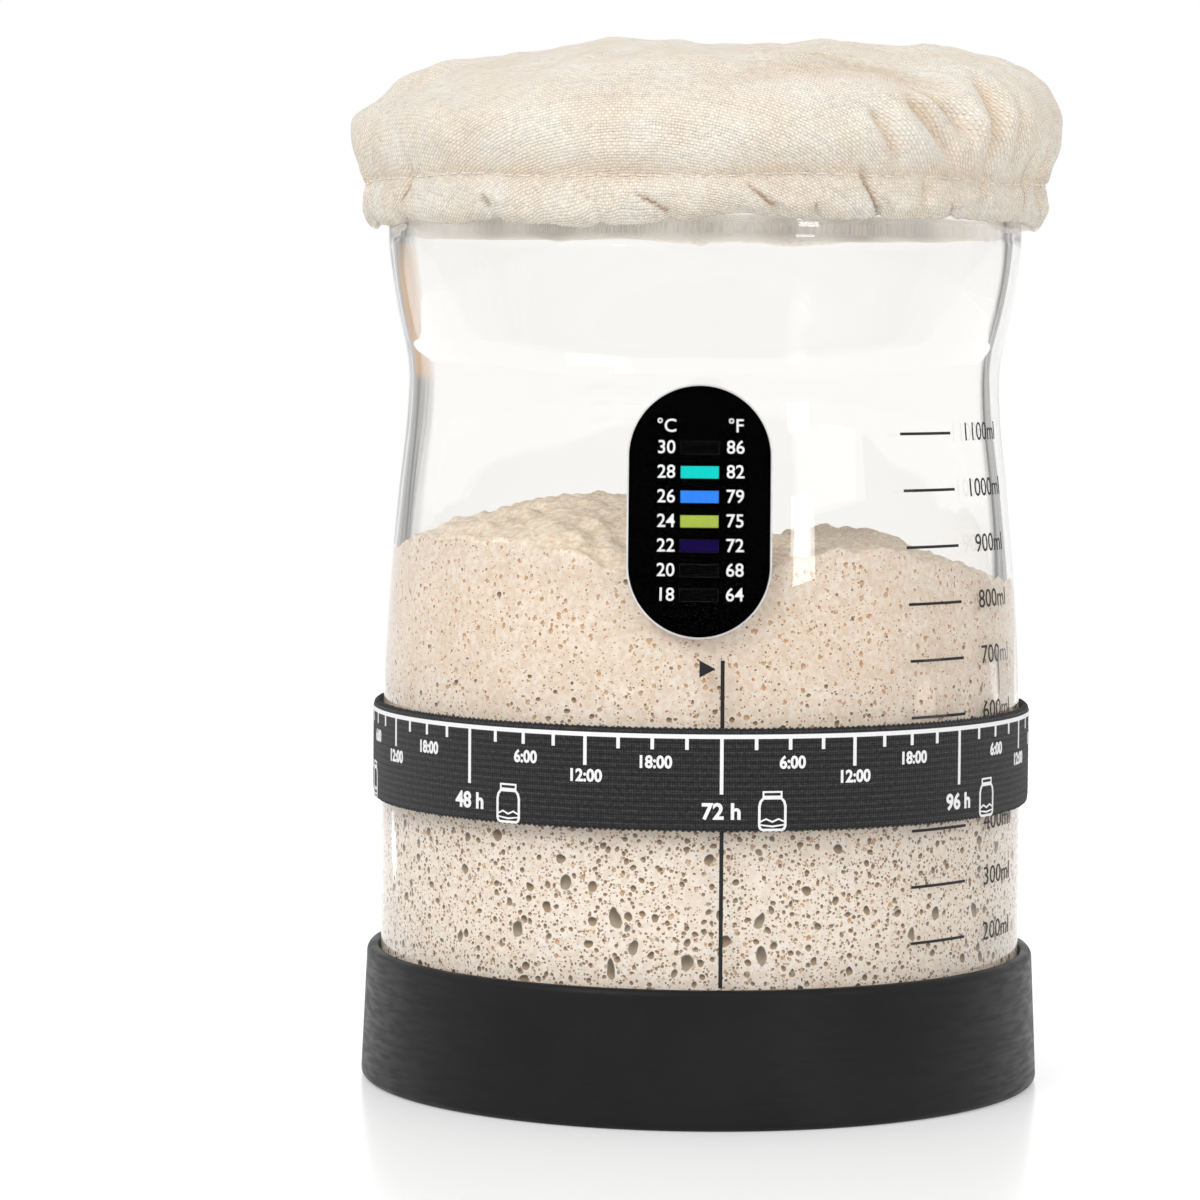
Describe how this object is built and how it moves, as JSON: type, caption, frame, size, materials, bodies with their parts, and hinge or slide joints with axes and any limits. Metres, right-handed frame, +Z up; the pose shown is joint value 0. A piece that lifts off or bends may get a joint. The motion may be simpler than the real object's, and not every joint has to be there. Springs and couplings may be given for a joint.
{
  "type": "sourdough starter jar",
  "caption": "Waisted glass jar of risen starter in a silicone base, with a thermometer strip, a turning elastic day band, a metal lid and a gathered cloth cover.",
  "frame": {"origin": "centre of the base's underside, on the surface that it stands on", "axes": "+Z up along the jar's axis, -Y towards the thermometer strip, +X to the right seen from the front"},
  "size_m": [0.1316, 0.1322, 0.192],
  "materials": {
    "black_silicone": "satin moulded silicone",
    "clear_glass": "clear pressed glass",
    "dough": "moist risen dough with bran specks",
    "strip_white": "adhesive film",
    "strip_black": "printed film",
    "clear_film": "clear gloss film",
    "crystal_dark": "inactive liquid crystal",
    "crystal_navy": "liquid crystal just below its range",
    "crystal_yellow": "liquid crystal at its range's end",
    "crystal_blue": "liquid crystal in its range",
    "crystal_cyan": "liquid crystal in its range",
    "black_elastic": "ribbed woven elastic with white print",
    "tinplate": "plain tinplate",
    "white_seal": "soft sealing compound",
    "cream_canvas": "unbleached plain-weave canvas",
    "white_elastic": "woven elastic"
  },
  "bodies": {
    "base": {"silicone_base": "black_silicone"},
    "jar": {"glass_jar": "clear_glass", "starter": "dough", "strip_backing": "strip_white", "strip_mask": "strip_black", "strip_face": "clear_film", "crystal_18": "crystal_dark", "crystal_20": "crystal_dark", "crystal_22": "crystal_navy", "crystal_24": "crystal_yellow", "crystal_26": "crystal_blue", "crystal_28": "crystal_cyan", "crystal_30": "crystal_dark"},
    "band": {"feeding_band": "black_elastic"},
    "lid": {"lid_shell": "tinplate", "lid_liner": "white_seal"},
    "cover": {"cover_cloth": "cream_canvas", "cover_elastic": "white_elastic"}
  },
  "joints": [
    {"name": "jar_lift", "type": "slide", "parent": "base", "child": "jar", "axis": [0, 0, 1], "range_m": [0, 0.04]},
    {"name": "band_turn", "type": "hinge", "parent": "jar", "child": "band", "pos_m": [0, 0, 0.0611], "axis": [0, 0, 1], "continuous": true},
    {"name": "lid_lift", "type": "slide", "parent": "jar", "child": "lid", "axis": [0, 0, 1], "range_m": [0, 0.06]},
    {"name": "cover_lift", "type": "slide", "parent": "lid", "child": "cover", "axis": [0, 0, 1], "range_m": [0, 0.06]}
  ]
}
